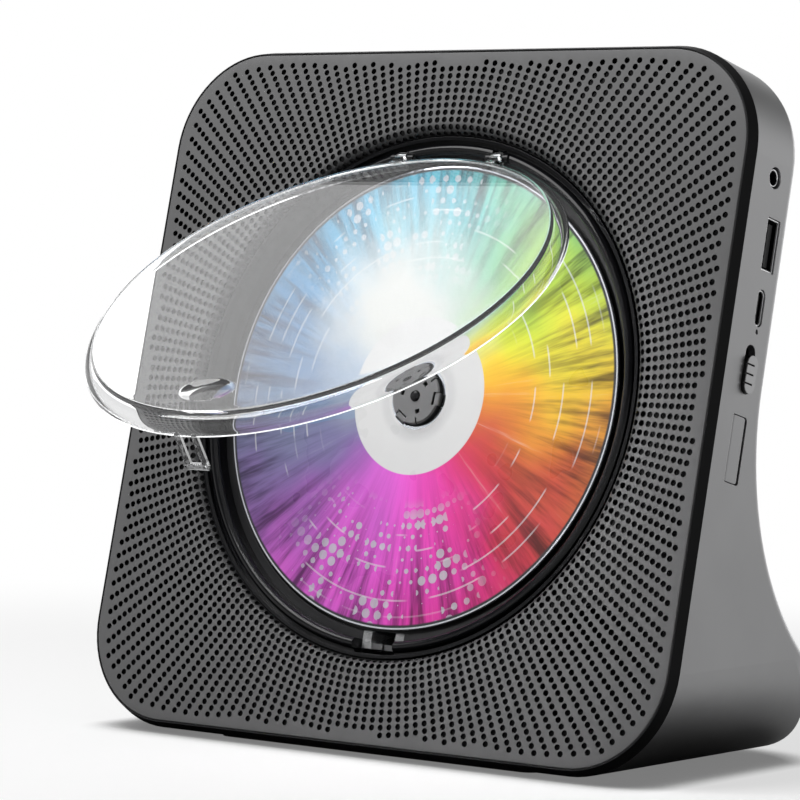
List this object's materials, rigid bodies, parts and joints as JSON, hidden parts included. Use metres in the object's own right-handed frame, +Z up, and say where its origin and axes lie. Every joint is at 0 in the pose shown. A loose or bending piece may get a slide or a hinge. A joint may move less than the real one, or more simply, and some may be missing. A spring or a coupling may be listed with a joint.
{
  "type": "disc player",
  "caption": "Desk-standing compact-disc player with a leaning perforated front, a swing-up clear lid over a round disc well, and a flared foot.",
  "frame": {"origin": "on the floor under the middle of the front foot", "axes": "+X to the viewer's right of the front, +Y to the rear, +Z up"},
  "size_m": [0.1839, 0.1531, 0.1788],
  "materials": {
    "housing_grey": "satin metallic lacquer",
    "trim_dark": "satin dark grey",
    "grille_grey": "perforated sheet, satin grey",
    "gloss_black": "high gloss",
    "black_plastic": "fine matte",
    "clear_plastic": "clear, polished",
    "disc_print": "printed and lacquered",
    "hub_grey": "matte dark grey",
    "steel": "plain",
    "black_steel": "blackened, glossy",
    "plated_steel": "bright",
    "rubber": "matte",
    "board_green": "solder mask",
    "cell_wrap": "shrink sleeve",
    "light_pipe": "diffusing",
    "knob_grey": "fine matte",
    "cone_paper": "pressed paper with a soft rim"
  },
  "bodies": {
    "player": {"body_shell": "housing_grey", "front_trim": "trim_dark", "speaker_grille": "grille_grey", "front_baffle": "black_plastic", "well_ring": "gloss_black", "disc_well": "black_plastic", "latch_housing": "black_plastic", "latch_guides": "clear_plastic", "lid_hinge_pins": "steel", "spindle_motor": "steel", "mech_chassis": "steel", "damper_grommets": "rubber", "inner_screws": "plated_steel", "guide_rods": "plated_steel", "sled_motor": "steel", "speaker_baskets": "black_steel", "speaker_cones": "cone_paper", "speaker_magnets": "black_steel", "port_board": "board_green", "headphone_jack": "black_plastic", "usb_a_port": "plated_steel", "usb_c_port": "plated_steel", "status_light": "light_pipe", "power_switch_body": "black_plastic", "card_socket": "plated_steel", "button_board": "board_green", "tact_switches": "plated_steel", "main_board": "board_green", "board_components": "black_plastic", "battery_cell": "cell_wrap", "front_foot": "rubber", "rear_foot": "rubber", "housing_screws": "black_steel"},
    "lid": {"dust_cover": "clear_plastic", "lid_skirt": "clear_plastic", "lid_hook": "clear_plastic"},
    "spindle": {"spindle_hub": "hub_grey", "spindle_shaft": "black_steel", "compact_disc": "disc_print"},
    "pawl_1": {"hub_pawl_1": "hub_grey"},
    "pawl_2": {"hub_pawl_2": "hub_grey"},
    "pawl_3": {"hub_pawl_3": "hub_grey"},
    "sled": {"laser_sled": "black_plastic", "laser_lens": "clear_plastic"},
    "screw": {"lead_screw": "steel"},
    "catch": {"latch_shuttle": "knob_grey"},
    "power_knob": {"power_switch_knob": "knob_grey"},
    "flap": {"card_flap": "housing_grey"},
    "button_1": {"top_button_1": "knob_grey"},
    "button_2": {"top_button_2": "knob_grey"},
    "button_3": {"top_button_3": "knob_grey"},
    "button_4": {"top_button_4": "knob_grey"},
    "button_5": {"top_button_5": "knob_grey"},
    "button_6": {"top_button_6": "knob_grey"}
  },
  "joints": [
    {"name": "lid_hinge", "type": "hinge", "parent": "player", "child": "lid", "pos_m": [0, 0.02506, 0.15052], "axis": [-1, 0, 0], "range_deg": [-45, 30]},
    {"name": "spindle_spin", "type": "hinge", "parent": "player", "child": "spindle", "pos_m": [0, 0.01345, 0.08956], "axis": [0, -0.9744, 0.225], "continuous": true},
    {"name": "sled_travel", "type": "slide", "parent": "player", "child": "sled", "axis": [1, 0, 0], "range_m": [0, 0.032]},
    {"name": "screw_turn", "type": "hinge", "parent": "player", "child": "screw", "pos_m": [0.0152, 0.0197, 0.06903], "axis": [1, 0, 0], "range_deg": [0, 3600]},
    {"name": "catch_press", "type": "slide", "parent": "player", "child": "catch", "axis": [0, 0.9744, -0.225], "range_m": [0, 0.0015], "stiffness_N_per_m": 300},
    {"name": "power_slide", "type": "slide", "parent": "player", "child": "power_knob", "axis": [0, 0.225, 0.9744], "range_m": [0, 0.0026]},
    {"name": "flap_hinge", "type": "hinge", "parent": "player", "child": "flap", "pos_m": [0.0904, 0.01721, 0.08095], "axis": [0, -0.225, -0.9744], "range_deg": [0, 90]},
    {"name": "pawl_press_1", "type": "slide", "parent": "spindle", "child": "pawl_1", "axis": [0.9976, -0.0157, -0.068], "range_m": [-0.00045, 0], "stiffness_N_per_m": 400},
    {"name": "pawl_press_2", "type": "slide", "parent": "spindle", "child": "pawl_2", "axis": [-0.4384, 0.2022, 0.8758], "range_m": [-0.00045, 0], "stiffness_N_per_m": 400},
    {"name": "pawl_press_3", "type": "slide", "parent": "spindle", "child": "pawl_3", "axis": [-0.5592, -0.1865, -0.8078], "range_m": [-0.00045, 0], "stiffness_N_per_m": 400},
    {"name": "button_press_1", "type": "slide", "parent": "player", "child": "button_1", "axis": [0, -0.225, -0.9744], "range_m": [0, 0.0008], "stiffness_N_per_m": 300},
    {"name": "button_press_2", "type": "slide", "parent": "player", "child": "button_2", "axis": [0, -0.225, -0.9744], "range_m": [0, 0.0008], "stiffness_N_per_m": 300},
    {"name": "button_press_3", "type": "slide", "parent": "player", "child": "button_3", "axis": [0, -0.225, -0.9744], "range_m": [0, 0.0008], "stiffness_N_per_m": 300},
    {"name": "button_press_4", "type": "slide", "parent": "player", "child": "button_4", "axis": [0, -0.225, -0.9744], "range_m": [0, 0.0008], "stiffness_N_per_m": 300},
    {"name": "button_press_5", "type": "slide", "parent": "player", "child": "button_5", "axis": [0, -0.225, -0.9744], "range_m": [0, 0.0008], "stiffness_N_per_m": 300},
    {"name": "button_press_6", "type": "slide", "parent": "player", "child": "button_6", "axis": [0, -0.225, -0.9744], "range_m": [0, 0.0008], "stiffness_N_per_m": 300}
  ],
  "couplings": [
    {"joint": "screw_turn", "follows": "sled_travel", "rad_per_m": 1963.5}
  ]
}
